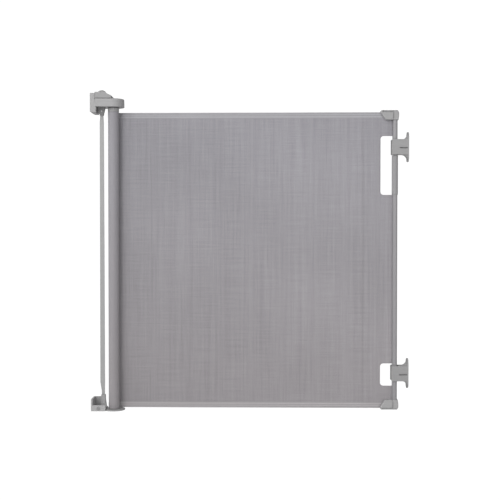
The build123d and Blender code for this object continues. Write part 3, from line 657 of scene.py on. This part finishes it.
def wound_cloth():
    """The cloth still on the roller: a spiral from its tube to where the panel leaves it."""
    rows = [Z0, Z0 + 0.5 * MM, Z0 + HEM - 0.6 * MM, Z0 + HEM + 0.6 * MM]
    rows += [Z0 + (Z1 - Z0) * k / 8 for k in range(1, 8)]
    rows += [Z1 - HEM - 0.6 * MM, Z1 - HEM + 0.6 * MM, Z1 - 0.5 * MM, Z1]
    middle = (Z0 + HEM, Z1 - HEM)
    mesh = bmesh.new()
    uv = mesh.loops.layers.uv.new("cloth")
    count = ROLL_TURNS * ROLL_STEPS
    wall = LAYER * 0.86
    outer, inner, lengths, length = [], [], [], 0.0
    for k in range(count + 1):
        turn = k / ROLL_STEPS
        angle = pi / 2 + 2 * pi * turn
        lengths.append(length)
        base = ROLL_R - LAYER * turn
        length += 2 * pi * base / ROLL_STEPS
        lines = ([], [])
        for z in rows:
            thin = 0.0 if not middle[0] < z < middle[1] else 0.25 * MM
            sink = thin if turn < 1 else 0.0
            for line, radius in zip(lines, (base - sink, base - wall - sink * 0.4)):
                x, y = ROLL_X + radius * cos(angle), radius * sin(angle)
                line.append(mesh.verts.new((x, y, z)))
        outer.append(lines[0])
        inner.append(lines[1])

    def quad(corners, marks):
        face = mesh.faces.new(corners)
        face.smooth = True
        for loop, mark in zip(face.loops, marks):
            loop[uv].uv = mark

    for k in range(count):
        for r in range(len(rows) - 1):
            marks = [(lengths[k], rows[r]), (lengths[k + 1], rows[r])]
            marks += [(lengths[k + 1], rows[r + 1]), (lengths[k], rows[r + 1])]
            a, b = outer[k], outer[k + 1]
            quad((a[r], b[r], b[r + 1], a[r + 1]), marks)
            a, b = inner[k], inner[k + 1]
            quad((a[r + 1], b[r + 1], b[r], a[r]), marks[::-1])
        for r, flip in ((0, False), (len(rows) - 1, True)):
            corners = [outer[k][r], inner[k][r], inner[k + 1][r], outer[k + 1][r]]
            quad(corners[::-1] if flip else corners, [(lengths[k], rows[r])] * 4)
    for k in (0, count):
        for r in range(len(rows) - 1):
            corners = [outer[k][r], outer[k][r + 1], inner[k][r + 1], inner[k][r]]
            quad(corners, [(lengths[k], rows[r])] * 4)
    bmesh.ops.recalc_face_normals(mesh, faces=mesh.faces[:])
    data = bpy.data.meshes.new("wound_mesh")
    mesh.to_mesh(data)
    mesh.free()
    return new_piece("wound_mesh", data, ROLL_CLOTH), length


wound, wound_length = wound_cloth()
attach(wound, "roller")
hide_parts("mesh_roll")


# ------------------------------------------------------------------ stitching


def stitch_tree():
    """Stitches laid end to end along a seam."""
    tree = bpy.data.node_groups.new("stitch_row", "GeometryNodeTree")
    tree.interface.new_socket("Geometry", in_out="INPUT", socket_type="NodeSocketGeometry")
    sizes = (("Pitch", STITCH_PITCH), ("Stitch", STITCH_LENGTH), ("Thread", THREAD_WIDTH))
    for label, default in sizes:
        socket = tree.interface.new_socket(label, in_out="INPUT", socket_type=FLOAT)
        socket.default_value = default
    tree.interface.new_socket("Finish", in_out="INPUT", socket_type="NodeSocketMaterial")
    tree.interface.new_socket("Geometry", in_out="OUTPUT", socket_type="NodeSocketGeometry")
    wire = Wiring(tree)
    given, out = wire.node("NodeGroupInput"), wire.node("NodeGroupOutput")
    line = wire.node("GeometryNodeMeshToCurve")
    wire.link(given.outputs["Geometry"], line.inputs[0])
    along = wire.node("GeometryNodeCurveToPoints", mode="LENGTH")
    wire.link(line.outputs[0], along.inputs["Curve"])
    wire.link(given.outputs["Pitch"], along.inputs["Length"])
    bead = wire.node("GeometryNodeMeshUVSphere")
    bead.inputs["Segments"].default_value = 6
    bead.inputs["Rings"].default_value = 4
    bead.inputs["Radius"].default_value = 0.5
    size = wire.node("ShaderNodeCombineXYZ")
    wire.link(given.outputs["Thread"], size.inputs["X"])
    wire.link(given.outputs["Thread"], size.inputs["Y"])
    wire.link(given.outputs["Stitch"], size.inputs["Z"])
    place = wire.node("GeometryNodeInstanceOnPoints")
    wire.link(along.outputs["Points"], place.inputs["Points"])
    wire.link(bead.outputs["Mesh"], place.inputs["Instance"])
    wire.link(along.outputs["Rotation"], place.inputs["Rotation"])
    wire.link(size.outputs[0], place.inputs["Scale"])
    real = wire.node("GeometryNodeRealizeInstances")
    wire.link(place.outputs[0], real.inputs[0])
    finish = wire.node("GeometryNodeSetMaterial")
    wire.link(real.outputs[0], finish.inputs["Geometry"])
    wire.link(given.outputs["Finish"], finish.inputs["Material"])
    wire.link(finish.outputs[0], out.inputs[0])
    return tree


STITCH_TREE = stitch_tree()


def socket_key(tree, label):
    """The identifier of a tree's named input."""
    for item in tree.interface.items_tree:
        if item.name == label and item.in_out == "INPUT":
            return item.identifier
    raise KeyError(label)


def sewn_rows(name, seams, offset, material, at_handle):
    """Stitches along seams given in X and Z, at an offset from the panel's back."""
    verts, edges = [], []
    for seam in seams:
        dense = []
        for (xa, za), (xb, zb) in zip(seam, seam[1:]):
            parts = max(1, round(max(abs(xb - xa), abs(zb - za)) / CLOTH_STEP))
            for k in range(parts):
                dense.append((xa + (xb - xa) * k / parts, za + (zb - za) * k / parts))
        dense.append(seam[-1])
        first = len(verts)
        verts += [(x, panel_back(x) + ripple(x, z) + offset, z) for x, z in dense]
        edges += [(first + k, first + k + 1) for k in range(len(dense) - 1)]
    line = bpy.data.meshes.new(name)
    line.from_pydata(verts, edges, [])
    maker = new_piece(name + "_line", line, material)
    sewing = maker.modifiers.new("sewing", "NODES")
    sewing.node_group = STITCH_TREE
    sewing[socket_key(STITCH_TREE, "Pitch")] = STITCH_PITCH
    sewing[socket_key(STITCH_TREE, "Stitch")] = STITCH_LENGTH
    sewing[socket_key(STITCH_TREE, "Thread")] = THREAD_WIDTH
    sewing[socket_key(STITCH_TREE, "Finish")] = material
    depsgraph = bpy.context.evaluated_depsgraph_get()
    data = bpy.data.meshes.new_from_object(maker.evaluated_get(depsgraph))
    bpy.data.objects.remove(maker)
    for face in data.polygons:
        face.use_smooth = True
    piece = new_piece(name, data, material)
    goes_with_gate(piece, at_handle)


def straight(x0, x1, z):
    return [(x0, z), (x1, z)]


def upright(x, z0, z1):
    return [(x, z0), (x, z1)]


hem_seams, hem_end_seams = [], []
for z in (Z0 + SEWN_LOW, Z0 + SEWN_HIGH, Z1 - SEWN_HIGH, Z1 - SEWN_LOW):
    hem_seams.append(straight(ROLL_X + 10 * MM, SPLIT_X - 2 * MM, z))
    stop = NOTCH_X if z < NOTCH_HIGH + 2 * MM else PANEL_END
    hem_end_seams.append(straight(SPLIT_X + 0.5 * MM, stop - 1.5 * MM, z))
patch_seams = [
    upright(PATCH_LOW[0] + 2.0 * MM, Z0 + HEM + MM, Z1 - HEM - MM),
    upright(PATCH_LOW[0] + 5.0 * MM, Z0 + HEM + MM, Z1 - HEM - MM),
]
patch_end_seams = []
for low, high in (LOWER_CUT, UPPER_CUT):
    patch_end_seams.append(cut_out_path(low, high, PANEL_END - 1 * MM, 2.4 * MM))
levels = (Z0 + HEM, *LOWER_CUT, *UPPER_CUT, Z1 - HEM)
for low, high in zip(levels[::2], levels[1::2]):
    patch_end_seams.append(upright(PANEL_END - 3.2 * MM, low + 5 * MM, high - 5 * MM))
for side, hem_offset, patch_offset in (
    ("front", -CLOTH_T - 0.5 * MM, -CLOTH_T - 0.55 * MM),
    ("rear", 0.5 * MM, 0.05 * MM),
):
    for ending, hem_rows, patch_rows, at_handle in (
        ("", hem_seams, patch_seams, False),
        ("_handle_end", hem_end_seams, patch_end_seams, True),
    ):
        name = f"hem_stitches_{side}{ending}"
        sewn_rows(name, hem_rows, hem_offset, THREAD, at_handle)
        name = f"reinforcement_stitches_{side}{ending}"
        sewn_rows(name, patch_rows, patch_offset, THREAD, at_handle)


# ------------------------------------------------------------------ stage


def floor_finish():
    """A plain pale floor that reads as white where the camera looks at it."""
    made, wire, shader, place = start_material("pale_floor")
    tone = wire.remap(wire.noise(place, 3.0), 0.0, 1.0, 0.78, 0.80)
    wire.link(tone, shader.inputs["Base Color"])
    shader.inputs["Roughness"].default_value = 0.9
    glow = wire.node("ShaderNodeEmission")
    glow.inputs["Strength"].default_value = WHITE_LEVEL
    mixed = wire.node("ShaderNodeMixShader")
    seen = wire.node("ShaderNodeLightPath")
    wire.link(seen.outputs["Is Camera Ray"], mixed.inputs[0])
    wire.link(shader.outputs[0], mixed.inputs[1])
    wire.link(glow.outputs[0], mixed.inputs[2])
    end = next(n for n in made.node_tree.nodes if n.type == "OUTPUT_MATERIAL")
    wire.link(mixed.outputs[0], end.inputs["Surface"])
    return made


def make_stage():
    """The floor under the gate and the light of the room."""
    data = bpy.data.meshes.new("floor")
    far, level = 8.0, cad_box[0][2] - 25 * MM
    corners = [(-far, -far, level), (far, -far, level), (far, far, level), (-far, far, level)]
    data.from_pydata(corners, [], [(0, 1, 2, 3)])
    new_piece("floor", data, floor_finish())
    world = bpy.data.worlds.new("studio")
    bpy.context.scene.world = world
    world.use_nodes = True
    wire = Wiring(world.node_tree)
    room = world.node_tree.nodes["Background"]
    aim = wire.node("ShaderNodeSeparateXYZ")
    wire.link(wire.node("ShaderNodeTexCoord").outputs["Generated"], aim.inputs[0])
    high = wire.remap(aim.outputs["Z"], -0.6, 0.8, 0.66, 0.9)
    side = wire.remap(aim.outputs["X"], -0.9, 0.9, 1.0, 0.30)
    wire.link(wire.math("MULTIPLY", high, side), room.inputs["Strength"])
    room.inputs["Color"].default_value = (1.0, 0.99, 1.0, 1.0)
    white = wire.node("ShaderNodeBackground")
    white.inputs["Color"].default_value = (1.0, 1.0, 1.0, 1.0)
    white.inputs["Strength"].default_value = WHITE_LEVEL
    both = wire.node("ShaderNodeMixShader")
    seen = wire.node("ShaderNodeLightPath")
    wire.link(seen.outputs["Is Camera Ray"], both.inputs[0])
    wire.link(room.outputs[0], both.inputs[1])
    wire.link(white.outputs[0], both.inputs[2])
    end = next(n for n in world.node_tree.nodes if n.type == "OUTPUT_WORLD")
    wire.link(both.outputs[0], end.inputs["Surface"])


def soft_light(name, place, aim, size, power, colour):
    """A square soft light pointed at a place."""
    data = bpy.data.lights.new(name, "AREA")
    data.shape = "SQUARE"
    data.size = size
    data.energy = power
    data.color = colour
    made = bpy.data.objects.new(name, data)
    bpy.context.scene.collection.objects.link(made)
    made.location = place
    made.rotation_euler = (Vector(aim) - Vector(place)).to_track_quat("-Z", "Y").to_euler()


def place_camera():
    """The camera in front of the gate, a little above its middle."""
    data = bpy.data.cameras.new("camera")
    data.lens = CAMERA_LENS
    data.clip_end = 50
    made = bpy.data.objects.new("camera", data)
    bpy.context.scene.collection.objects.link(made)
    made.location = CAMERA_PLACE
    aim = Vector(CAMERA_AIM) - made.location
    made.rotation_euler = aim.to_track_quat("-Z", "Y").to_euler()
    bpy.context.scene.camera = made


make_stage()
soft_light("key", (-1.6, -2.4, 1.9), (0, 0, 0.3), 1.9, 48, (1.0, 0.995, 1.0))
soft_light("fill", (1.3, -2.7, 0.3), (0.0, 0, 0.05), 1.6, 17, (1.0, 0.985, 0.985))
place_camera()
bpy.context.scene.view_settings.view_transform = "Standard"
